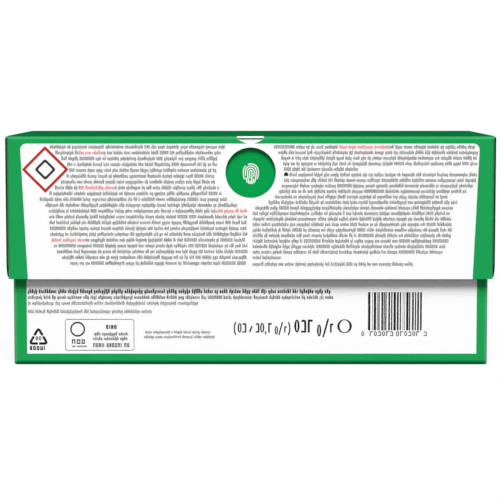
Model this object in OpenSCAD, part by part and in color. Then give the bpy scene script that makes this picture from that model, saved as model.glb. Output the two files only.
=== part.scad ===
// Child-resistant carton of laundry pods: a folded lid that telescopes over a folded base,
// two sprung press flaps that are reached through finger holes, and the sealed pods inside.
// Origin at the centre of the underside, +Z up, X along the long side, photographed face at -Y.

/* [Board] */
// Thickness of the micro-flute board
board = 0.95; // [0.7:0.05:1.2]
// Outside radius of the long folds along the top of the lid
long_fold_r = 1.7; // [1.3:0.1:3]
// Outside radius of the short folds and of the upright folds
short_fold_r = 1.25; // [1.25:0.05:2]

// Distance from one flute of the board to the next
flute_pitch = 2.7; // [2.2:0.1:3.2]
// Thickness of each flat liner of the board
liner = 0.17; // [0.12:0.01:0.25]

/* [Lid] */
// Outside width of the lid
lid_w = 227; // [205:1:250]
// Outside depth of the lid
lid_d = 104; // [100:1:120]
// Height of the lid, from its raw lower edge to the top panel
lid_h = 66.5; // [55:0.5:76]
// Radius of the lower corners of the side panels
side_corner_r = 8; // [2:1:14]
// Length of the glue tabs that turn in behind the side panels
tab_len = 24; // [14:1:34]
// How far the board gives where two layers are glued
glue_press = 0.1; // [0.05:0.05:0.15]
// How far the glue tabs stop short of the lid's lower edge
tab_rise = 3; // [1:0.5:8]
// Height over which the free end of a glue tab tapers
tab_taper = 6; // [2:1:10]

/* [Base] */
// Height of the closed pack
pack_h = 107; // [100:1:120]
// Clearance between the glue tabs and the sides of the base
side_gap = 1; // [0.4:0.1:1.5]
// Clearance between the skirts and the front and back of the base
front_gap = 2; // [1.2:0.1:2.6]
// Clearance between the rim of the base and the top panel
rim_gap = 0.1; // [0.05:0.05:0.5]
// Width of the glue lap inside the upright seam
lap_w = 16; // [8:1:24]
// Distance from the back fold to the free edge of the outer bottom flap
seam_inset = 9; // [5:1:16]
// Run over which the inner bottom flap steps up under the outer one
seam_run = 4; // [2:0.5:4.5]
// Slit where the two inner bottom flaps meet
floor_slit = 1.2; // [0.4:0.2:3]

/* [Press flaps] */
// Radius of the finger holes
hole_r = 11.6; // [9:0.2:13]
// Depth of the finger holes' centre under the top
hole_drop = 17; // [15:0.5:22]
// Width of a press flap
flap_w = 44; // [34:1:60]
// Depth of the hinge crease under the top
crease_drop = 42; // [36:1:48]
// Height from the hinge crease to the second crease
leg_h = 12; // [8:1:14]
// Depth of a press flap's free edge under the top
flap_drop = 4.8; // [3.5:0.1:5.5]
// Radius of the free corners of a press flap
flap_r = 6; // [3:0.5:10]
// Width of the cut round a press flap
cut_w = 0.7; // [0.5:0.1:1]
// Play at the hinge crease
crease_gap = 0.3; // [0.2:0.05:0.4]
// Clearance between a press flap and the skirt in front of it
pad_gap = 0.35; // [0.3:0.05:0.6]

/* [Slit at the fold] */
// Width of the short slit over each finger hole
slit_w = 12; // [6:0.5:20]
// Height of the slit
slit_h = 0.4; // [0.3:0.05:0.6]

/* [Pods] */
// Layers of pods; the last one may be part full
pod_layers = 2.6; // [2:0.1:2.8]
// Width of the seal round a pod
pod_w = 42.4; // [36:0.2:44]
// Thickness of the seal
seal_t = 0.8; // [0.6:0.1:1.2]
// Depth of the lower chamber
bowl_h = 12; // [9:0.2:12.4]
// Width of the lower chamber
bowl_w = 38; // [30:0.5:38]
// Height of the upper chambers
dome_h = 11.2; // [8:0.2:11.6]
// Radius of the upper chambers together
dome_r = 17.6; // [13:0.2:18]
// Width of the seal lines between the upper chambers
swirl_w = 1.5; // [1:0.1:2]
// Clearance between a pod and what it lies on
pod_gap = 0.3; // [0.2:0.05:0.4]

/* [Hidden] */
$fn = 72;
over = 1;

green = "#22a556";
film_blue = "#7fb2e5";

// The lid stands over the base by one tab, one side panel and the clearance.
lid_z = pack_h - lid_h;
sheet_w = lid_w - 2 * (board - glue_press);
base_w = sheet_w - 2 * board - 2 * side_gap;
base_d = lid_d - 2 * board - 2 * front_gap;
base_h = pack_h - board - rim_gap;

// The floor is an outer flap, a full inner flap and two short ones.
floor_h = 3 * board;
inner_w = base_w - 2 * board;
inner_d = base_d - 2 * board;

hole_z = pack_h - hole_drop;
crease_z = pack_h - crease_drop;
flap_top = pack_h - flap_drop;
flap_offset = front_gap - pad_gap;

slit_z = pack_h - board - slit_h;

// Pods stand in columns of equal pitch, layer on layer.
pods_x = floor(inner_w / (pod_w + pod_gap));
pods_y = floor(inner_d / (pod_w + pod_gap));
pods_layer = pods_x * pods_y;
pod_total = round(pod_layers * pods_layer);
pod_pitch_x = inner_w / pods_x;
pod_pitch_y = inner_d / pods_y;
pod_h = bowl_h + seal_t + dome_h;
seal_r = pod_w * 0.2;
bowl_r = bowl_h * 0.9;
swirl_count = 3;
flute_open = 0.86;

function pod_name(i) = str("pod_", i < 10 ? "0" : "", i);

// Rectangle centred on x from y0 to y1, with its upper and lower corners rounded.
module slab_2d(w, y0, y1, r_low, r_high) {
    difference() {
        translate([-w / 2, y0]) square([w, y1 - y0]);
        for (s = [-1, 1]) {
            if (r_low > 0) corner_2d(s * w / 2, y0, -s, 1, r_low);
            if (r_high > 0) corner_2d(s * w / 2, y1, -s, -1, r_high);
        }
    }
}

// What a round corner takes off a square one; sx and sy point to the inside.
module corner_2d(x, y, sx, sy, r) {
    translate([x, y]) mirror([sx < 0 ? 1 : 0, 0]) mirror([0, sy < 0 ? 1 : 0]) difference() {
        translate([-over, -over]) square(r + over);
        translate([r, r]) circle(r);
    }
}

module rect_2d(w, d, r) { slab_2d(w, -d / 2, d / 2, r, r); }

// Prisms along each axis: the outline is drawn in XY, XZ or YZ.
module along_z(z0, z1) { translate([0, 0, z0]) linear_extrude(z1 - z0) children(); }
module along_y(len) { rotate([90, 0, 0]) translate([0, 0, -len / 2]) linear_extrude(len) children(); }
module along_x(len) {
    rotate([90, 0, 90]) translate([0, 0, -len / 2]) linear_extrude(len) children();
}

// Block of the sheet's outer or inner faces: top, skirts and the tabs' outer faces.
module sheet_block(w, d, z1, r_long, r_up) {
    intersection() {
        along_x(w) slab_2d(d, lid_z - (z1 < pack_h ? over : 0), z1, 0, r_long);
        along_z(lid_z - 2 * over, pack_h + over) rect_2d(w, d, r_up);
    }
}

// Top panel, front and back skirts and the glue tabs folded in from the skirts.
module lid_sheet() {
    difference() {
        sheet_block(sheet_w, lid_d, pack_h, long_fold_r, short_fold_r);
        sheet_block(
            sheet_w - 2 * board, lid_d - 2 * board, pack_h - board,
            long_fold_r - board, short_fold_r - board
        );
        along_x(sheet_w + 2 * over) tab_cut_2d();
    }
}

// What the side walls of the sheet lose to leave four tapered tabs.
module tab_cut_2d() {
    y_tab = lid_d / 2 - tab_len;
    y_fold = lid_d / 2 - short_fold_r;
    z_tab = lid_z + tab_rise;
    z_top = pack_h - board - over;
    difference() {
        translate([-y_fold, lid_z - over]) square([2 * y_fold, pack_h - board - lid_z + over]);
        for (s = [-1, 1])
            polygon([
                [s * y_fold, z_tab], [s * y_tab, z_tab + tab_taper],
                [s * y_tab, z_top - tab_taper], [s * (y_tab + tab_taper / 2), z_top],
                [s * y_fold, z_top]
            ]);
    }
}

// Side panels, folded down from the top panel and glued over the tabs.
module lid_sides() {
    intersection() {
        along_y(lid_d + 2 * over) difference() {
            slab_2d(lid_w, lid_z, pack_h, 0, short_fold_r);
            slab_2d(lid_w - 2 * board, lid_z - over, pack_h - board, 0, short_fold_r - board);
            for (s = [-1, 1]) translate([s * (lid_w - board) / 2, 0]) flutes_2d();
        }
        along_x(lid_w + 2 * over) slab_2d(lid_d, lid_z, pack_h, side_corner_r, long_fold_r);
    }
}

// Open channels between the liners of a side panel, on both sides of the fluted ply.
module flutes_2d() {
    count = floor((pack_h - short_fold_r - lid_z) / flute_pitch - 0.5);
    deep = board / 2 - liner;
    wide = flute_pitch * flute_open / 2;
    for (k = [1 : count], s = [-1, 1])
        translate([0, lid_z + (k + s / 4 - 0.25) * flute_pitch])
            polygon([[s * deep, -wide], [s * deep, wide], [s * deep * (1 - 2 * flute_open), 0]]);
}

module lid_carton() {
    color(green) difference() {
        union() {
            lid_sheet();
            lid_sides();
        }
        translate([0, 0, hole_z]) rotate([90, 0, 0])
            cylinder(r = hole_r, h = lid_d + 2 * over, center = true);
        translate([0, 0, slit_z + slit_h / 2])
            cube([slit_w, lid_d + 2 * over, slit_h], center = true);
    }
}

// Block with the base's rounded upright and bottom folds.
module base_block(w, d, z0, z1, r) {
    intersection() {
        along_z(z0, z1) rect_2d(w, d, r);
        along_x(w) slab_2d(d, z0, z1, r, 0);
        along_y(d) slab_2d(w, z0, z1, r, 0);
    }
}

// Outline of a press flap, or of the window round it with a margin.
module flap_2d(margin, z0) {
    slab_2d(flap_w + 2 * margin, z0, flap_top + margin, 0, flap_r + margin);
}

module base_carton() {
    color(green) difference() {
        union() {
            difference() {
                base_block(base_w, base_d, 0, base_h, short_fold_r);
                base_block(inner_w, inner_d, 2 * board, base_h + over, short_fold_r - board);
            }
            floor_flaps();
            glue_lap();
        }
        along_y(base_d + 2 * over) flap_2d(cut_w, crease_z - crease_gap / 2);
        seam_step();
    }
}

// The two short bottom flaps, which lie innermost and meet at a slit.
module floor_flaps() {
    flap_len = (inner_w - floor_slit) / 2;
    for (s = [-1, 1])
        translate([s * (floor_slit + flap_len) / 2, 0, board * 2.5])
            cube([flap_len + board, inner_d + board, board], center = true);
}

// Lap of the upright seam, glued inside the back wall beside the left fold.
module glue_lap() {
    translate([-inner_w / 2 - board / 2, inner_d / 2 - board, floor_h])
        cube([lap_w + board / 2, 1.5 * board, base_h - floor_h - 2 * board]);
}

// Step in the underside at the free edge of the outer bottom flap.
module seam_step() {
    y_back = base_d / 2 - seam_inset;
    along_x(base_w - 2 * short_fold_r) polygon([
        [y_back, -over], [y_back, board], [y_back + board, board],
        [y_back + seam_run, 0], [y_back + seam_run, -over]
    ]);
}

// Press flap in the front wall: a leg that leans out from its crease and an upright pad.
module press_flap() {
    z0 = crease_z + crease_gap / 2;
    z1 = crease_z + leg_h;
    y_mid = board / 2 - base_d / 2;
    intersection() {
        along_y(base_d + 4 * front_gap) flap_2d(0, z0);
        along_x(flap_w + 2 * over) translate([y_mid, 0]) polygon([
            [board / 2, z0], [-board / 2, z0],
            [-flap_offset - board / 2, z1], [-flap_offset - board / 2, flap_top + over],
            [-flap_offset + board / 2, flap_top + over], [-flap_offset + board / 2, z1]
        ]);
    }
}

module front_press_flap() { color(green) press_flap(); }
module back_press_flap() { color(green) rotate(180) press_flap(); }

// Sealed pod: a pillow below the seal and three chambers in a swirl above it.
module pod() {
    color(film_blue) union() {
        translate([0, 0, bowl_h]) pod_bowl();
        along_z(bowl_h, bowl_h + seal_t) rect_2d(pod_w, pod_w, seal_r);
        translate([0, 0, bowl_h + seal_t]) difference() {
            pod_dome();
            for (k = [0 : swirl_count - 1]) rotate(k * 360 / swirl_count) swirl_line();
        }
    }
}

// Lower chamber: four round sides and four round corners about a flat middle.
module pod_bowl() {
    core = bowl_w - 2 * bowl_r;
    wall = bowl_h - bowl_r + seal_t / 2;
    translate([0, 0, -bowl_h]) {
        along_z(0, bowl_r + wall) square(core, center = true);
        along_z(bowl_r, bowl_r + wall) rect_2d(bowl_w, bowl_w, bowl_r);
        for (a = [0 : 90 : 270]) rotate(a) translate([core / 2, core / 2, bowl_r]) {
            intersection() {
                sphere(bowl_r);
                translate([0, 0, -bowl_r]) cube(bowl_r);
            }
            translate([0, -core / 2, 0]) along_y(core) intersection() {
                circle(bowl_r);
                translate([0, -bowl_r]) square(bowl_r);
            }
        }
    }
}

// Upper chambers before their seal lines: the cap of a ball.
module pod_dome() {
    ball_r = (dome_r * dome_r + dome_h * dome_h) / (2 * dome_h);
    intersection() {
        translate([0, 0, dome_h - ball_r]) sphere(ball_r);
        along_z(-seal_t / 2, dome_h + over) square(2 * pod_w, center = true);
    }
}

// Seal line between two upper chambers: half a ring from the middle to the rim.
module swirl_line() {
    arm_r = dome_r / 2 + swirl_w / 2;
    translate([arm_r, 0, 0]) intersection() {
        difference() {
            cylinder(r = arm_r + swirl_w / 2, h = dome_h + over);
            translate([0, 0, -over]) cylinder(r = arm_r - swirl_w / 2, h = dome_h + 3 * over);
        }
        translate([-2 * arm_r, 0, 0]) cube([4 * arm_r, 2 * arm_r, dome_h + over]);
    }
}

// Pods fill a layer column by column and then the next; neighbours lie a quarter turn apart.
module placed_pod(i) {
    k = i - 1;
    layer = floor(k / pods_layer);
    col = floor((k % pods_layer) / pods_y);
    row = (k % pods_layer) % pods_y;
    translate([
        (col - (pods_x - 1) / 2) * pod_pitch_x,
        (row - (pods_y - 1) / 2) * pod_pitch_y,
        floor_h + pod_gap + layer * (pod_h + pod_gap)
    ]) rotate(90 * (col + row + layer)) pod();
}

base_carton();
lid_carton();
front_press_flap();
back_press_flap();
for (i = [1 : pod_total])
    placed_pod(i);
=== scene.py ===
"""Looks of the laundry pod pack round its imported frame.

Objects are in metres. Print and masks are laid out in millimetres, which MM turns into metres.
"""
import math
import random

import bmesh
import bpy
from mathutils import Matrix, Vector


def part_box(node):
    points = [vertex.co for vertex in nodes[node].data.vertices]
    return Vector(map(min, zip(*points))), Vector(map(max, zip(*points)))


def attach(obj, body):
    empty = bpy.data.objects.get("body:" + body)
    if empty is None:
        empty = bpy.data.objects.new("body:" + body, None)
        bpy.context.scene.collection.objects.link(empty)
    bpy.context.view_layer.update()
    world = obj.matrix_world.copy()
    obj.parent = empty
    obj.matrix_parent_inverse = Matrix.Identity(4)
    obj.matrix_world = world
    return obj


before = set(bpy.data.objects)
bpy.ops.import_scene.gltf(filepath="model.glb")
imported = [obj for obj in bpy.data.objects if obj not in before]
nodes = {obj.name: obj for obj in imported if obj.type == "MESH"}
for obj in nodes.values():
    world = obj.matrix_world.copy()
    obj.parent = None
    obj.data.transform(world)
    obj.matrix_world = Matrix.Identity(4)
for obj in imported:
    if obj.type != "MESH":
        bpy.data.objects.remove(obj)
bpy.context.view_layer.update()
scene = bpy.context.scene
MM = 0.001


def box_mm(node):
    """Lowest and highest corners of a node at rest, in millimetres."""
    return [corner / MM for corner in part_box(node)]


# Outer sizes of the carton, in millimetres, from the frame.
lid_low, lid_high = box_mm("lid_carton")
base_high = box_mm("base_carton")[1]
LID_W, LID_D, LID_Z, PACK_H = lid_high.x * 2, lid_high.y * 2, lid_low.z, lid_high.z
BASE_W, BASE_D, BASE_H = base_high.x * 2, base_high.y * 2, base_high.z
FLAP_FACE_Y = box_mm("back_press_flap")[1].y

# The rest of the sizes that the print follows have the source's values.
BOARD, LINER, FLUTE_PITCH, GLUE_PRESS = 0.95, 0.17, 2.7, 0.1
LONG_FOLD_R, SHORT_FOLD_R = 1.7, 1.25
SHEET_W = LID_W - 2 * BOARD + 2 * GLUE_PRESS
HOLE_R, HOLE_DROP = 11.6, 17
HOLE_Z = PACK_H - HOLE_DROP
SLIT_W, SLIT_Z0, SLIT_Z1 = 12.0, 105.65, 106.05

# Greens: the faces' print, a darker green for the top into which the top fold darkens as painted
# shade, the bottom fold's painted shade, the flaps' print, the top fold's painted highlight and the
# bottom edge's painted shade.
GREEN, TOP_GREEN, LOW_SHADE_GREEN, FLAP_GREEN = "#1f9f55", "#055228", "#06713b", "#0b9e4d"
FOLD_HIGHLIGHT_GREEN, SOLE_SHADE_GREEN = "#38a263", "#02351a"
# Lighter ink on the upright folds, from rubbed wear and painted highlight, and the painted shade that
# outlines the base's ones.
WORN_LIT_GREEN, FOLD_SHADE_OUTLINE = "#7fb794", "#3a5c48"
# Whites: the faces' print, greyer whites at the start and the end of the top fold as painted shade,
# and the slit's lower lip's painted shadow.
WHITE, FOLD_SHADE_WHITE, TOP_SHADE_WHITE, LIP_SHADOW_GRAY = "#fbfbfb", "#dbe0dd", "#b4b8b6", "#86ab99"
# Board without print, its cut edges, and the painted shade between its plies.
KRAFT, KRAFT_CUT, RAW, RAW_PLY, SHADOW = "#b08a5e", "#a98a63", "#343a2e", "#3a4334", "#0c0f0a"

# Camera: a long lens a little above the lid, which looks slightly down.
CAM_LENS, CAM_SENSOR, CAM_DOWN = 135.3, 36.0, 4.97
CAM_PLACE = (-0.0003, -0.9213, 0.1297)
cam_data = bpy.data.cameras.new("camera")
cam_data.lens, cam_data.sensor_width = CAM_LENS, CAM_SENSOR
cam = bpy.data.objects.new("camera", cam_data)
cam.location = CAM_PLACE
cam.rotation_euler = (math.radians(90 - CAM_DOWN), 0, 0)
scene.collection.objects.link(cam)
scene.camera = cam


def linear(text):
    """A hex colour as linear RGBA."""
    channels = [int(text[i : i + 2], 16) / 255 for i in (1, 3, 5)]
    return [c / 12.92 if c < 0.04045 else ((c + 0.055) / 1.055) ** 2.4 for c in channels] + [1.0]


# Widths of the ramps at the borders of masks, in millimetres or as a share of a normal.
HAIR, CUT_SOFT, FINE, EDGE_SOFT, INK_SOFT, SOFT = 0.02, 0.04, 0.05, 0.06, 0.08, 0.1


class Graph:
    """A material's node tree, with short calls for the sums that its masks need."""

    def __init__(self, name, rough, spec):
        self.material = bpy.data.materials.new(name)
        self.material.use_nodes = True
        self.tree = self.material.node_tree
        self.shader = self.tree.nodes["Principled BSDF"]
        self.shader.inputs["Roughness"].default_value = rough
        self.shader.inputs["Specular IOR Level"].default_value = spec
        coords = self.add("ShaderNodeTexCoord")
        self.mm = self.vector("SCALE", coords.outputs["Object"], scale=1000)
        self.x, self.y, self.z = self.split(self.mm)
        self.nx, self.ny, self.nz = self.split(coords.outputs["Normal"])

    def add(self, kind, **fields):
        node = self.tree.nodes.new(kind)
        for key, value in fields.items():
            setattr(node, key, value)
        return node

    def put(self, socket, value):
        """Links a socket to another one, or gives it a plain value."""
        if isinstance(value, bpy.types.NodeSocket):
            self.tree.links.new(value, socket)
        else:
            socket.default_value = value

    def split(self, vector):
        node = self.add("ShaderNodeSeparateXYZ")
        self.put(node.inputs[0], vector)
        return node.outputs[0], node.outputs[1], node.outputs[2]

    def join(self, x, y, z):
        node = self.add("ShaderNodeCombineXYZ")
        for socket, value in zip(node.inputs, (x, y, z)):
            self.put(socket, value)
        return node.outputs[0]

    def vector(self, operation, a, b=None, scale=None):
        node = self.add("ShaderNodeVectorMath", operation=operation)
        self.put(node.inputs[0], a)
        if b is not None:
            self.put(node.inputs[1], b)
        if scale is not None:
            self.put(node.inputs["Scale"], scale)
        return node.outputs["Value" if operation == "LENGTH" else "Vector"]

    def math(self, operation, a, b=0.0, c=0.0, clamp=False):
        node = self.add("ShaderNodeMath", operation=operation, use_clamp=clamp)
        for socket, value in zip(node.inputs, (a, b, c)):
            self.put(socket, value)
        return node.outputs[0]

    def plus(self, a, b):
        return self.math("ADD", a, b)

    def minus(self, a, b):
        return self.math("SUBTRACT", a, b)

    def times(self, first, *rest):
        for value in rest:
            first = self.math("MULTIPLY", first, value)
        return first

    def least(self, a, b):
        return self.math("MINIMUM", a, b)

    def most(self, first, *rest):
        for value in rest:
            first = self.math("MAXIMUM", first, value)
        return first

    def scaled(self, value, factor, start):
        """The value times a factor, plus a start."""
        return self.math("MULTIPLY_ADD", value, factor, start)

    def size(self, value):
        return self.math("ABSOLUTE", value)

    def over(self, value, edge, soft=EDGE_SOFT):
        """1 where value is over edge, 0 where it is under it, with a ramp soft wide."""
        return self.math("MULTIPLY_ADD", self.minus(value, edge), 1 / soft, 0.5, clamp=True)

    def under(self, value, edge, soft=EDGE_SOFT):
        return self.over(self.minus(edge, value), 0.0, soft)

    def rise(self, value, start, stop):
        """0 up to start, 1 from stop, and an even ramp between."""
        span = stop - start
        return self.math("MULTIPLY_ADD", value, 1 / span, -start / span, clamp=True)

    def noise(self, scale, detail=2.0, rough=0.5, stretch=None):
        """Noise over millimetres, so a scale of 1 has features about a millimetre wide."""
        node = self.add("ShaderNodeTexNoise")
        place = self.mm if stretch is None else self.vector("MULTIPLY", self.mm, stretch)
        self.put(node.inputs["Vector"], place)
        node.inputs["Scale"].default_value = scale
        node.inputs["Detail"].default_value = detail
        node.inputs["Roughness"].default_value = rough
        return node.outputs[0]

    def mix(self, mask, a, b):
        """Colour a where mask is 0 and b where it is 1. A colour may be given as text."""
        node = self.add("ShaderNodeMix", data_type="RGBA")
        # Of a mix node's sockets, inputs 6 and 7 and output 2 are the colours.
        for socket, value in zip((node.inputs[0], node.inputs[6], node.inputs[7]), (mask, a, b)):
            self.put(socket, linear(value) if isinstance(value, str) else value)
        return node.outputs[2]

    def shade(self, colour, noise, amount):
        """The colour made lighter or darker as a noise value swings about its middle."""
        factor = self.scaled(self.minus(noise, 0.5), amount, 1.0)
        if isinstance(colour, str):
            colour = linear(colour)[:3]
        return self.vector("MULTIPLY", colour, self.join(factor, factor, factor))

    def rounded(self, a, b, half_a, half_b, r):
        """Signed distance to a rounded rectangle about the origin of a and b."""
        qa = self.minus(self.size(a), half_a - r)
        qb = self.minus(self.size(b), half_b - r)
        out = self.vector("LENGTH", self.join(self.most(qa, 0.0), self.most(qb, 0.0), 0.0))
        return self.minus(self.plus(out, self.least(self.most(qa, qb), 0.0)), r)

    def bump(self, height, strength, distance):
        node = self.add("ShaderNodeBump")
        node.inputs["Strength"].default_value = strength
        node.inputs["Distance"].default_value = distance
        self.put(node.inputs["Height"], height)
        self.put(self.shader.inputs["Normal"], node.outputs[0])

    def colour(self, value):
        self.put(self.shader.inputs["Base Color"], value)
        return self.material


# Board: printed outside, brown inside, with fluted cut edges.
BOARD_ROUGH, BOARD_SPEC = 0.5, 0.0
# Print reaches this far in from the carton's outer surface.
SKIN = -0.12
# Half of a height well over the part's, for outlines of which one round end is used.
HALF_TALL = 60.0
# Shares of a normal from which a face counts as level, and as one that looks to front or back.
LEVEL, FACING = 0.9, 0.8
PLY_HALF = 0.1
RIB_HEIGHT, GRAIN_HEIGHT, WARP_HEIGHT = 0.06, 0.3, 1.2
RELIEF, RELIEF_DEPTH = 0.12, 0.0002


def cut_edge(g, along, depth, tone):
    """Cut edge of the board: liners and a wavy fluted ply, with the channels between them painted
    dark as shade.
    """
    half = BOARD / 2
    wave = g.times(g.math("COSINE", g.times(along, 2 * math.pi / FLUTE_PITCH)), half - LINER)
    ply = g.under(g.size(g.minus(depth, wave)), PLY_HALF, EDGE_SOFT)
    inside = g.under(g.size(depth), half - LINER, FINE)
    channel = g.times(inside, g.minus(1.0, ply))
    return g.mix(channel, g.shade(tone, g.noise(scale=1.6, detail=3.0), 0.4), SHADOW)


def kraft(g):
    """Uncoated brown liner with fibres."""
    fibres = g.noise(scale=3.0, detail=3.0, rough=0.6, stretch=(1.0, 1.0, 0.35))
    return g.shade(g.shade(KRAFT, fibres, 0.35), g.noise(scale=0.35), 0.2)


def printed_green(g, tone):
    """Green ink, a little uneven over long and short stretches."""
    far = g.noise(scale=0.06, detail=3.0)
    near = g.noise(scale=1.1, detail=3.0, rough=0.6)
    return g.shade(g.shade(tone, far, 0.08), near, 0.05)


def printed_white(g):
    return g.shade(WHITE, g.noise(scale=0.08), 0.012)


def board_relief(g):
    """Faint ribs of the flutes under the liner, the liner's own grain and a slight warp."""
    ribs = g.times(g.math("SINE", g.times(g.x, 2 * math.pi / FLUTE_PITCH)), RIB_HEIGHT)
    grain = g.times(g.noise(scale=2.2, detail=3.0, rough=0.6), GRAIN_HEIGHT)
    warp = g.times(g.noise(scale=0.05), WARP_HEIGHT)
    g.bump(g.plus(ribs, g.plus(grain, warp)), RELIEF, RELIEF_DEPTH)


# Levels of the noise at which the rubbing starts and is full.
WEAR_FROM, WEAR_FULL = 0.2, 0.7


def worn_and_lit(g, green, edge, least, more):
    """The ink made lighter where edge is 1, as rubbed wear and painted highlight, by a share from
    least to least plus more.
    """
    wear = g.rise(g.noise(scale=0.8), WEAR_FROM, WEAR_FULL)
    return g.mix(g.times(edge, g.scaled(wear, more, least)), green, WORN_LIT_GREEN)


# The lid's white field narrows towards its foot. A white band runs over the fold above the slit,
# and a flare joins the two.
PANEL_TOP, PANEL_R = 103.45, 3.0
PANEL_LEFT, PANEL_LEFT_SLOPE = -106.66, 0.0492
PANEL_RIGHT, PANEL_RIGHT_SLOPE = 105.96, -0.0442
BAND_X, BAND_HALF, BAND_TOP = -0.05, 6.2, 106.8
FLARE_FOOT, FLARE_SLOPE, FLARE_HALF = 1.7, 2.3, 5.9
# How far in from the photographed face the field's print reaches.
LID_FIELD_DEEP, BASE_FIELD_DEEP = 0.2, 0.15


def lid_white(g):
    """Mask of the white print on the lid's photographed face."""
    down = g.minus(PANEL_TOP, g.z)
    left = g.minus(g.scaled(down, PANEL_LEFT_SLOPE, PANEL_LEFT), g.x)
    right = g.minus(g.x, g.scaled(down, PANEL_RIGHT_SLOPE, PANEL_RIGHT))
    qx = g.most(g.plus(g.most(left, right), PANEL_R), 0.0)
    qz = g.most(g.minus(PANEL_R, down), 0.0)
    field = g.under(g.vector("LENGTH", g.join(qx, qz, 0.0)), PANEL_R, INK_SOFT)
    field = g.times(field, g.under(g.y, LID_FIELD_DEEP - LID_D / 2, FINE))

    off = g.size(g.minus(g.x, BAND_X))
    widen = g.scaled(g.minus(g.z, PANEL_TOP), FLARE_SLOPE, FLARE_FOOT)
    flare = g.times(g.under(off, g.least(widen, FLARE_HALF), INK_SOFT),
                    g.over(g.z, PANEL_TOP - 0.05), g.under(g.z, SLIT_Z0 + 0.1))
    band = g.times(g.under(off, BAND_HALF, INK_SOFT),
                   g.over(g.z, SLIT_Z1 - 0.1), g.under(g.z, BAND_TOP))
    front = g.under(g.y, LONG_FOLD_R - LID_D / 2, SOFT)
    return g.most(field, g.times(g.most(flare, band), front))


# Over the top fold the ink turns lighter over a short rise, a painted highlight, then darkens towards
# the top as painted shade.
LIGHT_FROM, LIGHT_TO, DARK_FROM, DARK_POWER = 0.1, 0.5, 0.35, 1.4
LIP_HIGH = 0.55
# How much of a fold's painted tone covers the one under it.
FOLD_SHARE = 0.9
# How far in from the lid's outer surfaces its upright edges are rubbed and lit lighter by painted
# highlight.
LID_WORN_LIT_X, LID_WORN_LIT_Y = 0.45, 1.5


def lid_ink(g, ax, ay):
    """Green and white print of the lid, with painted highlight and painted shade on the top fold,
    painted shadow under the slit, and upright edges lighter from wear and painted highlight.
    """
    fold_z = PACK_H - LONG_FOLD_R
    # Painted highlight: light makes the green lighter low on the fold. Painted shade: dark grows
    # towards the top and greys the white band.
    light = g.rise(g.z, fold_z + LIGHT_FROM, fold_z + LIGHT_TO)
    dark = g.math("POWER", g.rise(g.z, fold_z + DARK_FROM, PACK_H), DARK_POWER)
    green = g.mix(light, printed_green(g, GREEN), printed_green(g, FOLD_HIGHLIGHT_GREEN))
    green = g.mix(dark, green, printed_green(g, TOP_GREEN))
    edge = g.times(g.over(ax, SHEET_W / 2 - LID_WORN_LIT_X, 0.4),
                   g.over(ay, LID_D / 2 - LID_WORN_LIT_Y, 0.2))
    # Rubbed wear and painted highlight: the upright edges turn lighter.
    green = worn_and_lit(g, green, edge, 0.1, 0.2)
    white = g.mix(g.times(light, FOLD_SHARE), printed_white(g), FOLD_SHADE_WHITE)
    white = g.mix(g.times(dark, FOLD_SHARE), white, TOP_SHADE_WHITE)
    # Painted shadow: a grey-green strip on the slit's lower lip.
    lip = g.times(g.over(g.z, SLIT_Z0 - LIP_HIGH), g.under(g.z, SLIT_Z0 + 0.1),
                  g.under(ax, SLIT_W / 2, 0.3))
    white = g.mix(lip, white, LIP_SHADOW_GRAY)
    return g.mix(lid_white(g), green, white)


def lid_material():
    g = Graph("printed_lid_board", BOARD_ROUGH, BOARD_SPEC)
    ax, ay = g.size(g.x), g.size(g.y)
    z_mid = g.minus(g.z, PACK_H - HALF_TALL)
    across_y = g.rounded(g.y, z_mid, LID_D / 2, HALF_TALL, LONG_FOLD_R)
    across_x = g.rounded(g.x, z_mid, LID_W / 2, HALF_TALL, SHORT_FOLD_R)
    outer = g.over(g.most(across_y, across_x), SKIN, FINE)
    # The skirts' own upright folds, where they turn in to the glued tabs.
    plan = g.rounded(g.x, g.y, SHEET_W / 2, LID_D / 2, SHORT_FOLD_R)
    corner = g.times(g.over(plan, SKIN, FINE), g.over(ay, LID_D / 2 - SHORT_FOLD_R, SOFT))
    outer = g.most(outer, corner)
    colour = g.mix(outer, kraft(g), lid_ink(g, ax, ay))

    # Cut edges: the side panels' all round, the skirts' at the foot, the holes' and the slits'.
    below_fold = g.under(g.z, PACK_H - SHORT_FOLD_R - 0.3, FINE)
    end_on = g.over(g.size(g.ny), FACING, FINE)
    side_cut = g.times(g.over(ax, SHEET_W / 2 + HAIR, CUT_SOFT), g.under(g.size(g.nx), 0.5, FINE),
                       g.most(below_fold, end_on))
    low_cut = g.times(g.under(g.z, LID_Z + HAIR, HAIR), g.under(g.nz, -LEVEL, FINE))
    reach = g.vector("LENGTH", g.join(g.x, g.minus(g.z, HOLE_Z), 0.0))
    hole_cut = g.times(g.under(reach, HOLE_R + 0.05, CUT_SOFT), g.over(ay, LID_D / 2 - 1.5, SOFT))
    slit_cut = g.times(g.under(ax, SLIT_W / 2 + 0.03, CUT_SOFT), g.over(g.z, SLIT_Z0 - HAIR, HAIR),
                       g.under(g.z, SLIT_Z1 + HAIR, HAIR), g.under(ay, LID_D / 2 - 0.2, SOFT))
    skirt_cut = g.times(low_cut, g.under(ax, SHEET_W / 2 - 1.0, SOFT))
    skirt_depth = g.minus(ay, LID_D / 2 - BOARD / 2)
    side_depth = g.minus(ax, LID_W / 2 - BOARD / 2)
    colour = g.mix(low_cut, colour, g.shade(RAW, g.noise(scale=1.6, detail=3.0), 0.5))
    colour = g.mix(side_cut, colour, cut_edge(g, g.z, side_depth, RAW_PLY))
    colour = g.mix(g.most(skirt_cut, hole_cut), colour, cut_edge(g, g.x, skirt_depth, RAW))
    # Painted shade: the slit's walls are near black.
    colour = g.mix(slit_cut, colour, SHADOW)
    board_relief(g)
    return g.colour(colour)


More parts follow.
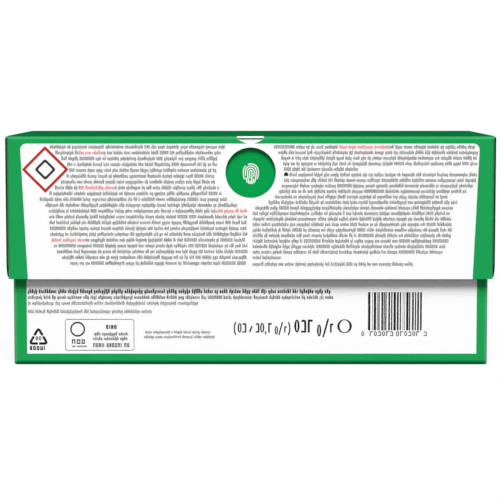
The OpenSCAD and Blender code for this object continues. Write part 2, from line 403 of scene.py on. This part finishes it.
# The base's white field, and the heights of the two bands of painted shade round its bottom fold.
FIELD_LEFT, FIELD_RIGHT, FIELD_LOW = -104.57, 105.58, 5.17
FOLD_TOP, SOLE_TOP = 1.9, 0.55
# The share of a normal from which a face is underside, and a height over the bottom's flaps.
SOLE_LEVEL, FLAPS_TOP = 0.96, 3.0
# How far in from the base's corners its upright folds are lightened, by rubbed wear and painted
# highlight, and outlined with painted shade.
BASE_WORN_LIT, OUTLINE_X, OUTLINE_Y, OUTLINE_SHARE = 1.3, 0.3, 1.4, 0.7


def base_ink(g, ax, ay, sole):
    """Green and white print of the base, with painted shade round its bottom fold and along its
    upright folds, which are also lighter from wear and painted highlight. The underside, where sole
    is 1, is plain green.
    """
    turned = g.minus(1.0, sole)
    # Painted shade: a darker green round the bottom fold, darker still along the bottom edge.
    fold = g.times(g.under(g.z, FOLD_TOP, 0.6), turned, FOLD_SHARE)
    green = g.mix(fold, printed_green(g, GREEN), printed_green(g, LOW_SHADE_GREEN))
    green = g.mix(g.times(g.under(g.z, SOLE_TOP, 0.5), turned), green, SOLE_SHADE_GREEN)
    edge = g.over(g.plus(ax, ay), BASE_W / 2 + BASE_D / 2 - BASE_WORN_LIT, 0.6)
    # Rubbed wear and painted highlight: the upright folds turn lighter.
    green = worn_and_lit(g, green, edge, 0.15, 0.2)
    # Painted shade: a dark outline along the base's upright folds.
    outline = g.times(g.over(ax, BASE_W / 2 - OUTLINE_X, 0.3),
                      g.over(ay, BASE_D / 2 - OUTLINE_Y, 0.3), OUTLINE_SHARE)
    green = g.mix(outline, green, FOLD_SHADE_OUTLINE)
    beyond = g.most(g.minus(FIELD_LEFT, g.x), g.minus(g.x, FIELD_RIGHT), g.minus(FIELD_LOW, g.z))
    field = g.times(g.under(beyond, 0.0, INK_SOFT), g.under(g.y, BASE_FIELD_DEEP - BASE_D / 2, FINE))
    return g.mix(field, green, printed_white(g))


def base_material():
    g = Graph("printed_base_board", BOARD_ROUGH, BOARD_SPEC)
    ax, ay = g.size(g.x), g.size(g.y)
    z_mid = g.minus(g.z, HALF_TALL)
    plan = g.rounded(g.x, g.y, BASE_W / 2, BASE_D / 2, SHORT_FOLD_R)
    across_y = g.rounded(g.y, z_mid, BASE_D / 2, HALF_TALL, SHORT_FOLD_R)
    across_x = g.rounded(g.x, z_mid, BASE_W / 2, HALF_TALL, SHORT_FOLD_R)
    outer = g.over(g.most(plan, across_x, across_y), SKIN, FINE)
    sole = g.times(g.under(g.nz, -SOLE_LEVEL, CUT_SOFT), g.under(g.z, FLAPS_TOP, SOFT))
    colour = g.mix(g.most(outer, sole), kraft(g), base_ink(g, ax, ay, sole))

    rim = g.times(g.over(g.z, BASE_H - 0.03, HAIR), g.over(g.nz, LEVEL, FINE))
    long_wall = g.over(ay, BASE_D / 2 - 1.0, HAIR)
    along = g.plus(g.times(g.x, long_wall), g.times(g.y, g.minus(1.0, long_wall)))
    depth = g.plus(g.most(g.minus(ax, BASE_W / 2), g.minus(ay, BASE_D / 2)), BOARD / 2)
    colour = g.mix(rim, colour, cut_edge(g, along, depth, KRAFT_CUT))
    board_relief(g)
    return g.colour(colour)


def flap_material(side, outward):
    """Printed on the side that faces out, which is -1 along Y at the front and 1 at the back."""
    g = Graph("printed_flap_board_" + side, BOARD_ROUGH, BOARD_SPEC)
    outer = g.over(g.times(g.ny, outward), 0.5, SOFT)
    board_relief(g)
    return g.colour(g.mix(outer, kraft(g), printed_green(g, FLAP_GREEN)))


def ink(name, tone, rough=0.6):
    """Print with the slight mottling of ink on board."""
    g = Graph(name, rough, BOARD_SPEC)
    return g.colour(g.shade(tone, g.noise(scale=1.2, detail=3.0, rough=0.6), 0.2))


# Pods: three chambers under a swirl of seal lines, over a clear bowl of gel.
POD_SEAL_Z, POD_DOME_R, POD_LEAN_R = 12.0, 17.5, 18.4
CHAMBER_TONES = ("#dfe6ea", "#2f7fd0", "#38b6a8")
GEL, SEAL = "#a9cbe4", "#c9d6e0"
FILM_ROUGH, FILM_SPEC, FILM_CREASE, CREASE_DEPTH = 0.16, 0.5, 0.35, 0.0006
FILM_DEPTHS = {"Subsurface Weight": 0.15, "Subsurface Scale": 0.003,
               "Coat Weight": 0.6, "Coat Roughness": 0.08}


def pod_material(name, corners, turn):
    """Glossy film over three coloured chambers, clearer below the seal."""
    g = Graph(name, FILM_ROUGH, FILM_SPEC)
    low, high = corners
    x = g.minus(g.x, (low.x + high.x) / 2)
    y = g.minus(g.y, (low.y + high.y) / 2)
    up = g.minus(g.z, low.z)
    away = g.vector("LENGTH", g.join(x, y, 0.0))
    angle = g.minus(g.math("ARCTAN2", y, x), turn)
    # The seal lines are half rings, so the chambers' borders swing back with the distance.
    lean = g.math("ARCCOSINE", g.math("DIVIDE", away, POD_LEAN_R, clamp=True))
    # Whole turns are added first, so that no share of a turn is taken of a negative angle.
    third = g.math("FRACT", g.scaled(g.minus(angle, lean), 1 / (2 * math.pi), 4.0))
    swirl = g.mix(g.under(third, 1 / 3, 0.01), CHAMBER_TONES[1], CHAMBER_TONES[0])
    swirl = g.mix(g.over(third, 2 / 3, 0.01), swirl, CHAMBER_TONES[2])
    on_dome = g.times(g.over(up, POD_SEAL_Z + 0.7, 0.2), g.under(away, POD_DOME_R, 0.3))
    gel = g.shade(GEL, g.noise(scale=0.25), 0.25)
    film = g.mix(g.over(up, POD_SEAL_Z - 0.4, 0.2), gel, SEAL)
    creases = g.noise(scale=0.9, detail=3.0, rough=0.6, stretch=(1.0, 1.0, 0.4))
    g.bump(creases, FILM_CREASE, CREASE_DEPTH)
    for socket, value in FILM_DEPTHS.items():
        g.shader.inputs[socket].default_value = value
    return g.colour(g.mix(on_dome, film, swirl))


def dress(node, material):
    mesh = nodes[node].data
    mesh.materials.clear()
    mesh.materials.append(material)


dress("lid_carton", lid_material())
dress("base_carton", base_material())
dress("front_press_flap", flap_material("front", -1.0))
dress("back_press_flap", flap_material("back", 1.0))
PODS, PODS_X, PODS_Y = 26, 5, 2
for i in range(PODS):
    name = f"pod_{i + 1:02d}"
    layer, place = divmod(i, PODS_X * PODS_Y)
    quarters = sum(divmod(place, PODS_Y)) + layer
    dress(name, pod_material("film_" + name, box_mm(name), math.radians(90 * quarters)))


# Print that stands a little proud of the board, as thin closed pieces.
PROUD, SUNK = 0.04, 0.03


class Print:
    """Collects thin closed plates on an upright face that looks along -Y, or +Y if turned."""

    def __init__(self, name, face_y, body, slot, materials, turned=False):
        self.name, self.body, self.slot, self.materials = name, body, slot, materials
        self.y_out, self.y_in = face_y - PROUD, face_y + SUNK
        self.turned = turned
        self.bm = bmesh.new()

    def corner(self, x, z, y):
        if self.turned:
            x, y = -x, -y
        return self.bm.verts.new((x * MM, y * MM, z * MM))

    def face(self, corners, index):
        self.bm.faces.new(corners).material_index = index

    def prism(self, outline, index=0):
        """A closed plate with this outline, a list of (x, z) anticlockwise as seen."""
        out = [self.corner(x, z, self.y_out) for x, z in outline]
        back = [self.corner(x, z, self.y_in) for x, z in outline]
        self.face(out, index)
        self.face(back[::-1], index)
        for i, a in enumerate(out):
            j = (i + 1) % len(out)
            self.face((a, back[i], back[j], out[j]), index)

    def bar(self, x0, x1, z0, z1, index=0):
        self.prism([(x0, z0), (x1, z0), (x1, z1), (x0, z1)], index)

    def ring(self, outer, inner, index=0):
        """A closed plate between two outlines with as many points each."""
        depths = (self.y_out, self.y_in)
        oo, ob = ([self.corner(x, z, y) for x, z in outer] for y in depths)
        io, ib = ([self.corner(x, z, y) for x, z in inner] for y in depths)
        for i in range(len(outer)):
            j = (i + 1) % len(outer)
            self.face((oo[i], oo[j], io[j], io[i]), index)
            self.face((ob[j], ob[i], ib[i], ib[j]), index)
            self.face((oo[j], oo[i], ob[i], ob[j]), index)
            self.face((io[i], io[j], ib[j], ib[i]), index)

    def ribbon(self, path, width, index=0):
        """A closed plate of even width along an open path, with square ends."""
        rows = []
        for i, (x, z) in enumerate(path):
            a, b = path[max(i - 1, 0)], path[min(i + 1, len(path) - 1)]
            along = Vector((b[0] - a[0], b[1] - a[1])).normalized() * width / 2
            left, right = (x - along.y, z + along.x), (x + along.y, z - along.x)
            rows.append([self.corner(*left, self.y_out), self.corner(*right, self.y_out),
                         self.corner(*right, self.y_in), self.corner(*left, self.y_in)])
        self.face(rows[0], index)
        self.face(rows[-1][::-1], index)
        for a, b in zip(rows, rows[1:]):
            for k in range(4):
                m = (k + 1) % 4
                self.face((a[m], a[k], b[k], b[m]), index)

    def finish(self):
        bmesh.ops.recalc_face_normals(self.bm, faces=self.bm.faces)
        mesh = bpy.data.meshes.new(self.name)
        self.bm.to_mesh(mesh)
        self.bm.free()
        for material in self.materials:
            mesh.materials.append(material)
        piece = bpy.data.objects.new(self.name, mesh)
        scene.collection.objects.link(piece)
        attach(piece, self.body)


# A made-up sign has one or two upright bars and one or two level ones, and says nothing.
# Uprights go from a low to a high share of the sign's height, and levels sit at such a share.
UPRIGHTS = [(0, 1), (0, 1), (0, 1), (0, 1), (0, 1.5), (0, 1.5), (-0.4, 1)]
LEVELS = [(0,), (1,), (0, 1), (0, 1), (0.45, 1), (0.5,)]
WORD_LENGTHS = (2, 3, 4, 5, 6, 6, 7, 8, 9, 11)
NARROW_SHARE, CAPITAL_SHARE, CAPITAL_RISE = 0.18, 0.08, 1.3
# Widths and gaps, as shares of a line's advance.
SIGN_WIDTHS, SIGN_GAP, WORD_GAP = (0.66, 0.8), 0.27, 0.6


def upright_span(rng, plain):
    return (0, 1) if plain else rng.choice(UPRIGHTS)


def sign(out, rng, x, z, wide, high, stroke, index, plain):
    """One sign with its foot at x, z. A sign as wide as a stroke is a single upright."""
    low, top = upright_span(rng, plain)
    out.bar(x, x + stroke, z + low * high, z + top * high, index)
    if wide <= stroke:
        return
    low, top = upright_span(rng, plain)
    out.bar(x + wide - stroke, x + wide, z + low * high, z + top * high, index)
    for share in rng.choice(LEVELS):
        level = z + share * (high - stroke)
        out.bar(x + stroke, x + wide - stroke, level, level + stroke, index)


def line_of_signs(out, rng, x0, x1, z_mid, high, stroke, advance, accents=(), capitals=None):
    """Fills a line from x0 to x1 with words of made-up signs about z_mid.

    Accents are the stretches in the second colour. Capitals is True or False for the whole line,
    and where it isn't given, a share of the words is in capitals that stand taller.
    """
    x = x0
    while x < x1 - advance:
        plain = rng.random() < CAPITAL_SHARE if capitals is None else capitals
        tall = high * CAPITAL_RISE if plain and capitals is None else high
        for _ in range(rng.choice(WORD_LENGTHS)):
            narrow = rng.random() < NARROW_SHARE
            wide = stroke if narrow else advance * rng.uniform(*SIGN_WIDTHS)
            if x + wide > x1:
                break
            accent = any(a <= x <= b for a, b in accents)
            sign(out, rng, x, z_mid - high / 2, wide, tall, stroke, int(accent), plain)
            x += wide + SIGN_GAP * advance
        x += WORD_GAP * advance


TEXT, RED = ink("gray_print", "#242426"), ink("red_print", "#d8323a")
FACE_LID, FACE_BASE = -LID_D / 2, -BASE_D / 2

# Where each line of the two columns starts and ends: they run round the hole.
LEFT_TOP, LEFT_PITCH = 101.8, 2.698
LEFT_LINES = [
    (-92.8, -11.4), (-90.3, -13.3), (-87.5, -14.7), (-84.9, -15.6), (-83.9, -15.9), (-85.2, -15.4),
    (-87.8, -15.3), (-90.6, -14.3), (-93.2, -12.9), (-97.7, -10.5), (-95.0, -6.1), (-93.5, -1.3),
    (-93.4, -1.3), (-93.3, -1.3), (-93.1, -1.3), (-93.0, -1.3), (-92.4, -1.3), (-91.4, -1.3),
    (-89.9, -1.3), (-87.6, -1.3), (-83.8, -1.3),
]
# The right column's last line stands a little lower than its pitch gives.
RIGHT_TOP, RIGHT_PITCH, LAST_DROP = 101.75, 2.565, 0.5
RIGHT_LINES = [
    (10.8, 104.4), (12.8, 105.3), (14.2, 105.3), (15.1, 105.3), (15.4, 49.6), (18.0, 105.2),
    (15.4, 105.0), (14.5, 103.8), (13.1, 101.0), (11.3, 92.2), (8.4, 95.8), (2.1, 93.9),
    (1.0, 93.5), (1.0, 93.5), (1.0, 93.6), (1.0, 93.6), (1.0, 93.6), (1.0, 92.3), (1.0, 90.7),
    (1.0, 89.6), (1.0, 14.9), (1.0, 75.4),
]
# Red stretches by line.
LEFT_RED = {1: [(-80.2, -69.4)], 7: [(-79.0, -63.2)], 11: [(-16.6, -1.2)], 16: [(-93.1, -76.8)]}
RIGHT_RED = {0: [(40.7, 64.3)]}
LINE_HIGH, LINE_STROKE, LINE_ADVANCE = 1.22, 0.22, 0.86
# A small solid mark of two bars before the right column's sixth line.
LINE_MARK = ((15.4, 17.4, 88.5, 89.5), (15.7, 17.1, 89.5, 90.1))

rng = random.Random(11)
left_column = Print("lid_text_left", FACE_LID, "lid", "lid_board", [TEXT, RED])
for i, (x0, x1) in enumerate(LEFT_LINES):
    line_of_signs(left_column, rng, x0, x1, LEFT_TOP - i * LEFT_PITCH, LINE_HIGH, LINE_STROKE,
                  LINE_ADVANCE, LEFT_RED.get(i, ()))
left_column.finish()

right_column = Print("lid_text_right", FACE_LID, "lid", "lid_board", [TEXT, RED])
for i, (x0, x1) in enumerate(RIGHT_LINES):
    drop = LAST_DROP if i == len(RIGHT_LINES) - 1 else 0
    line_of_signs(right_column, rng, x0, x1, RIGHT_TOP - i * RIGHT_PITCH - drop, LINE_HIGH,
                  LINE_STROKE, LINE_ADVANCE, RIGHT_RED.get(i, ()))
for sides in LINE_MARK:
    right_column.bar(*sides)
right_column.finish()


def corners_round(corners, r, steps=6):
    """Quarter arcs of radius r. A corner is its centre's x and z and its middle in degrees."""
    points = []
    for x, z, middle in corners:
        for k in range(steps + 1):
            a = math.radians(middle + 90 * (k / steps - 0.5))
            points.append((x + r * math.cos(a), z + r * math.sin(a)))
    return points


def lozenge(half, r):
    """A square on its corner, with round corners, at the lozenge's place."""
    x, z, reach = LOZENGE_X, LOZENGE_Z, half - r
    return corners_round([(x + reach, z, 0), (x, z + reach, 90),
                          (x - reach, z, 180), (x, z - reach, -90)], r)


def oblong(x0, x1, z0, z1, r):
    """An upright rectangle with round corners."""
    return corners_round([(x1 - r, z0 + r, -45), (x1 - r, z1 - r, 45),
                          (x0 + r, z1 - r, 135), (x0 + r, z0 + r, -135)], r)


def oval(cx, cz, half_w, half_h, steps=28):
    angles = [2 * math.pi * k / steps for k in range(steps)]
    return [(cx + half_w * math.cos(a), cz + half_h * math.sin(a)) for a in angles]


# Lozenges: half the diagonal and the corners' radius, of the outer and the inner outline.
LOZENGE_X, LOZENGE_Z = -95.05, 91.5
for name, tone, outside, inside in (
    ("lid_lozenge", ink("lozenge_red", "#b8342a"), (10.7, 0.35), (9.05, 0.15)),
    ("lid_lozenge_core", ink("lozenge_gray", "#3c3c3e"), (4.6, 1.0), (3.2, 0.6)),
):
    plate = Print(name, FACE_LID, "lid", "lid_board", [tone])
    plate.ring(lozenge(*outside), lozenge(*inside))
    plate.finish()

# Lines of signs on the base: start, end, middle, height, stroke, advance, and capitals or not.
BASE_LINES = [
    (-104.0, 38.5, 34.29, 1.35, 0.5, 0.98, None), (-104.0, 38.5, 31.51, 1.2, 0.27, 0.95, None),
    (-104.0, -23.7, 28.78, 1.2, 0.22, 0.95, None), (-104.0, -45.3, 24.87, 1.2, 0.225, 0.95, None),
    (-103.3, -95.2, 7.8, 1.95, 0.5, 1.6, True), (-67.6, -62.4, 17.75, 1.9, 0.46, 1.5, True),
    (-73.3, -56.6, 14.3, 1.15, 0.26, 0.9, None), (-73.7, -56.2, 12.1, 1.15, 0.26, 0.9, None),
    (-73.7, -56.2, 9.15, 1.9, 0.38, 1.35, True), (-83.6, -76.6, 10.85, 2.1, 0.5, 2.2, True),
    (-83.6, -76.6, 8.6, 0.7, 0.18, 0.6, True), (-49.3, -18.1, 15.2, 0.95, 0.2, 0.8, None),
    (-49.9, -16.9, 12.95, 0.95, 0.2, 0.8, None),
]
base_text = Print("base_text", FACE_BASE, "base", "base_board", [TEXT])
for x0, x1, z_mid, high, stroke, advance, capitals in BASE_LINES:
    line_of_signs(base_text, rng, x0, x1, z_mid, high, stroke, advance, (), capitals)
base_text.finish()

marks = Print("base_marks", FACE_BASE, "base", "base_board", [TEXT])

# Three bars bent round the corners of a triangle. Each reaches a share of the way to the next
# corner, and its bend starts at a smaller share.
TRI_X, TRI_HALF_W, TRI_LOW, TRI_HIGH = -99.26, 4.1, 9.95, 17.15
TRI_REACH, TRI_BEND, TRI_STROKE = 0.465, 0.16, 1.1
TRI_TIPS = [Vector((TRI_X + side * TRI_HALF_W, z))
            for side, z in ((0, TRI_HIGH), (-1, TRI_LOW), (1, TRI_LOW))]
for k in range(3):
    before, tip, after = TRI_TIPS[k - 1], TRI_TIPS[k], TRI_TIPS[(k + 1) % 3]
    near, far = tip.lerp(before, TRI_BEND), tip.lerp(after, TRI_BEND)
    bend = [near.lerp(tip, t).lerp(tip.lerp(far, t), t) for t in (0, 0.25, 0.5, 0.75, 1)]
    bent = [tip.lerp(before, TRI_REACH), *bend, tip.lerp(after, TRI_REACH)]
    marks.ribbon([tuple(point) for point in bent], TRI_STROKE)
# Two small upright rings inside the triangle.
TRI_RINGS_X, TRI_RINGS_Z = (-100.0, -98.5), 12.4
for ring_x in TRI_RINGS_X:
    marks.ring(oval(ring_x, TRI_RINGS_Z, 0.6, 1.0), oval(ring_x, TRI_RINGS_Z, 0.2, 0.6))

# A rounded frame with a plain ring in it, left of its lines of signs.
FRAME_X0, FRAME_X1, FRAME_Z0, FRAME_Z1 = -86.75, -54.45, 6.65, 21.45
FRAME_R, FRAME_LINE = 1.1, 0.25
FRAME_RING_X, FRAME_RING_Z, FRAME_RING_R, FRAME_RING_LINE = -80.9, 16.7, 3.5, 0.7


def frame_outline(inset):
    return oblong(FRAME_X0 + inset, FRAME_X1 - inset, FRAME_Z0 + inset, FRAME_Z1 - inset,
                  FRAME_R - inset)


def frame_ring(r):
    return oval(FRAME_RING_X, FRAME_RING_Z, r, r)


marks.ring(frame_outline(0), frame_outline(FRAME_LINE))
marks.ring(frame_ring(FRAME_RING_R), frame_ring(FRAME_RING_R - FRAME_RING_LINE))


def arc(cx, cz, half_w, half_h, start, stop, steps=12):
    """Open path along an ellipse, from one angle to another in degrees."""
    angles = [math.radians(start + (stop - start) * k / steps) for k in range(steps + 1)]
    return [(cx + half_w * math.cos(a), cz + half_h * math.sin(a)) for a in angles]


def loop(x, z, wide, high, stroke):
    """An upright ring, a little thinner at its top and bottom."""
    half_w, half_h = wide / 2, high / 2
    marks.ring(oval(x + half_w, z + half_h, half_w, half_h),
               oval(x + half_w, z + half_h, half_w - stroke, half_h - stroke * 0.8))


def hook(x, z, wide, high, stroke):
    """An arch with a long right leg and a foot."""
    half = (wide - stroke) / 2
    mid = x + wide / 2
    top = arc(mid, z + high - half - stroke / 2, half, half, 170, 0)
    marks.ribbon(top + [(mid + half, z + stroke)], stroke)
    marks.bar(x, x + wide, z, z + stroke * 0.9)


def post(x, z, wide, high, stroke):
    """An upright with a short arm."""
    marks.bar(x, x + stroke, z, z + high)
    marks.bar(x + stroke, x + wide, z + high - stroke, z + high)


def slant(x, z, wide, high, stroke):
    marks.ribbon([(x + stroke / 2, z), (x + wide - stroke / 2, z + high)], stroke)


# The quantity's place: made-up signs of the same weight, as shape, x, z, width, height, stroke.
QUANTITY_SIGNS = [
    (loop, -6.1, 15.1, 1.9, 4.5, 0.68), (hook, -3.9, 15.1, 1.9, 4.5, 0.72),
    (slant, -0.8, 15.3, 1.8, 2.9, 0.65), (hook, 2.3, 15.1, 1.8, 4.5, 0.72),
    (loop, 4.4, 15.1, 2.0, 4.5, 0.68), (slant, 6.6, 14.3, 0.8, 1.5, 0.55),
    (post, 8.2, 15.1, 1.7, 4.5, 0.72), (loop, 11.2, 14.2, 1.6, 4.0, 0.6),
    (slant, 12.9, 14.0, 2.3, 6.0, 0.6), (post, 15.7, 15.1, 1.2, 3.0, 0.62),
    (loop, 20.4, 15.1, 2.5, 6.1, 0.95), (hook, 23.6, 15.1, 2.4, 6.1, 0.95),
    (post, 26.7, 15.1, 2.3, 6.1, 0.95), (loop, 31.0, 13.3, 2.0, 5.6, 0.8),
    (slant, 33.5, 13.0, 3.2, 8.6, 0.8), (post, 37.1, 15.1, 1.6, 4.2, 0.8),
]
for shape, *measures in QUANTITY_SIGNS:
    shape(*measures)
# Two curved strokes round the first ten signs, each from an angle to another of an ellipse.
CURVE_Z, CURVE_HALF_W, CURVE_HALF_H, CURVE_STROKE = 17.0, 2.0, 4.0, 0.6
for curve_x, curve_start, curve_stop in ((-5.6, 130, 230), (16.3, 50, -50)):
    curve = arc(curve_x, CURVE_Z, CURVE_HALF_W, CURVE_HALF_H, curve_start, curve_stop)
    marks.ribbon(curve, CURVE_STROKE)
# A ring that is thicker at its sides.
THICK_X, THICK_Z = 43.9, 18.1
marks.ring(oval(THICK_X, THICK_Z, 3.4, 3.25), oval(THICK_X, THICK_Z, 2.35, 2.85))

# Upright bars of uneven width that say nothing.
BARS_X0, BARS_X1, BARS_Z0, BARS_Z1 = 54.85, 80.25, 16.15, 34.1
BAR_WIDTHS, BAR_GAPS = (0.27, 0.3, 0.54, 0.6, 0.81, 1.08), (0.25, 0.27, 0.5, 0.54, 0.8)
LEAST_BAR = 0.5
bar_x = BARS_X0
while bar_x < BARS_X1 - LEAST_BAR:
    bar_w = rng.choice(BAR_WIDTHS)
    marks.bar(bar_x, min(bar_x + bar_w, BARS_X1), BARS_Z0, BARS_Z1)
    bar_x += bar_w + rng.choice(BAR_GAPS)

# A row of small signs under the bars: one, two groups of six, and one.
SMALL_Z, SMALL_WIDE, SMALL_HIGH, SMALL_STROKE, SMALL_PITCH = 13.5, 1.45, 2.2, 0.42, 1.9
SMALL_SHAPES = (loop, post, loop, hook, loop, post, hook)
small_groups = [group_x + SMALL_PITCH * k for group_x in (55.7, 68.0) for k in range(6)]
for k, small_x in enumerate([51.75, *small_groups, 80.9]):
    shape = SMALL_SHAPES[k % len(SMALL_SHAPES)]
    shape(small_x, SMALL_Z, SMALL_WIDE, SMALL_HIGH, SMALL_STROKE)
marks.finish()

# The sign for a fingertip on both press flaps: arches in a nest, cut off by a full oval.
TIP_X, TIP_Z, TIP_HALF_W, TIP_HALF_H, TIP_FULL = 0.1, 89.4, 3.75, 4.7, 2.8
ARCH_Z, ARCH_STROKE, ARCH_LAP = TIP_Z + 1.15, 0.48, 0.1
LEG_BOW, LEG_STEPS = 0.012, 6


def leg(x, start, stop=None):
    """An upright stroke at x, bowed inward, from start down to stop or else to the oval."""
    if stop is None:
        stop = TIP_Z - TIP_HALF_H * (1 - abs(x / TIP_HALF_W) ** TIP_FULL) ** (1 / TIP_FULL)
    heights = [start + (stop - start) * k / LEG_STEPS for k in range(LEG_STEPS + 1)]
    return [(TIP_X + x * (1 - LEG_BOW * (ARCH_Z - z) ** 2), z) for z in heights]


def ridge(r, left_stop=None, right_stop=None, start=0, stop=180):
    """One arch with its legs. An arc that doesn't reach a side has no leg there."""
    path = arc(TIP_X, ARCH_Z, r, r, start, stop, 16)
    if start == 0:
        path = leg(r, ARCH_Z - ARCH_LAP, right_stop)[::-1] + path
    if stop == 180:
        path = path + leg(-r, ARCH_Z - ARCH_LAP, left_stop)
    return path


RIDGES = [
    ridge(0.52, left_stop=ARCH_Z - 3.4), ridge(1.52, right_stop=ARCH_Z - 2.6),
    ridge(2.52, left_stop=ARCH_Z - 1.9), ridge(3.5, stop=112), ridge(3.5, start=132),
    leg(-2.52, ARCH_Z - 2.7), leg(1.52, ARCH_Z - 3.4), leg(-0.5, ARCH_Z - 4.2),
]
white_ink = ink("white_print", "#f6fbf7", 0.5)
for side in ("front", "back"):
    tip_sign = Print(side + "_press_sign", -FLAP_FACE_Y, side + "_flap", "flap_board", [white_ink],
                     turned=side == "back")
    for path in RIDGES:
        tip_sign.ribbon(path, ARCH_STROKE)
    tip_sign.finish()


# Floor and world are plain white to the camera. The floor keeps a faint shadow.
FLOOR_TONE, FLOOR_GLOW, WORLD_LIGHT = 0.1, 0.83, 0.22


def seen_ray(tree):
    """1 for a ray of the camera, a reflection or a transmission."""
    ray = tree.nodes.new("ShaderNodeLightPath")
    value = ray.outputs["Is Camera Ray"]
    for kind in ("Is Glossy Ray", "Is Transmission Ray"):
        node = tree.nodes.new("ShaderNodeMath")
        node.operation = "MAXIMUM"
        tree.links.new(value, node.inputs[0])
        tree.links.new(ray.outputs[kind], node.inputs[1])
        value = node.outputs[0]
    return value


def floor_material():
    """Diffuse, with a glow that seen rays alone meet."""
    material = bpy.data.materials.new("pale_floor")
    material.use_nodes = True
    tree = material.node_tree
    tree.nodes.clear()
    out = tree.nodes.new("ShaderNodeOutputMaterial")
    both = tree.nodes.new("ShaderNodeAddShader")
    plain = tree.nodes.new("ShaderNodeBsdfDiffuse")
    plain.inputs[0].default_value = (FLOOR_TONE, FLOOR_TONE, FLOOR_TONE, 1)
    glow = tree.nodes.new("ShaderNodeEmission")
    level = tree.nodes.new("ShaderNodeMath")
    level.operation = "MULTIPLY"
    level.inputs[1].default_value = FLOOR_GLOW
    tree.links.new(seen_ray(tree), level.inputs[0])
    tree.links.new(level.outputs[0], glow.inputs["Strength"])
    tree.links.new(plain.outputs[0], both.inputs[0])
    tree.links.new(glow.outputs[0], both.inputs[1])
    tree.links.new(both.outputs[0], out.inputs[0])
    return material


FLOOR_HALF, FLOOR_DROP = 8.0, 0.0002
floor_mesh = bpy.data.meshes.new("floor")
floor_corners = [(x * FLOOR_HALF, y * FLOOR_HALF, 0) for x, y in ((-1, -1), (1, -1), (1, 1), (-1, 1))]
floor_mesh.from_pydata(floor_corners, [], [(0, 1, 2, 3)])
floor_mesh.materials.append(floor_material())
floor = bpy.data.objects.new("floor", floor_mesh)
floor.location.z = -FLOOR_DROP
scene.collection.objects.link(floor)

world = bpy.data.worlds.new("studio")
world.use_nodes = True
scene.world = world
world_tree = world.node_tree
background = world_tree.nodes["Background"]
background.inputs["Color"].default_value = (1, 1, 1, 1)
strength = world_tree.nodes.new("ShaderNodeMix")
strength.data_type = "FLOAT"
# Of this mix node's sockets, inputs 2 and 3 are the two numbers.
strength.inputs[2].default_value = WORLD_LIGHT
strength.inputs[3].default_value = 1.0
world_tree.links.new(seen_ray(world_tree), strength.inputs[0])
world_tree.links.new(strength.outputs[0], background.inputs["Strength"])


def lamp(name, azimuth, elevation, spread, level, glossy):
    """A far, wide softbox. Level is the light that falls on a face turned straight to it."""
    data = bpy.data.lights.new(name, "SUN")
    data.energy, data.angle = level * math.pi, math.radians(spread)
    obj = bpy.data.objects.new(name, data)
    a, e = math.radians(azimuth), math.radians(elevation)
    toward = Vector((math.sin(a) * math.cos(e), -math.cos(a) * math.cos(e), math.sin(e)))
    obj.rotation_euler = toward.to_track_quat("Z", "Y").to_euler()
    obj.visible_glossy = glossy
    scene.collection.objects.link(obj)


# Azimuth 0 is in front of the photographed face, and 90 is to its right. The fills stay out of
# reflections.
lamp("key", 3, 62.5, 27, 1.62, True)
lamp("fill_front", -10, 12, 40, 0.08, False)
lamp("fill_left", -105, 12, 24, 0.4, False)
lamp("fill_right", 105, 12, 24, 0.4, False)
lamp("fill_back", 180, 15, 24, 0.55, False)

scene.view_settings.view_transform = "Standard"
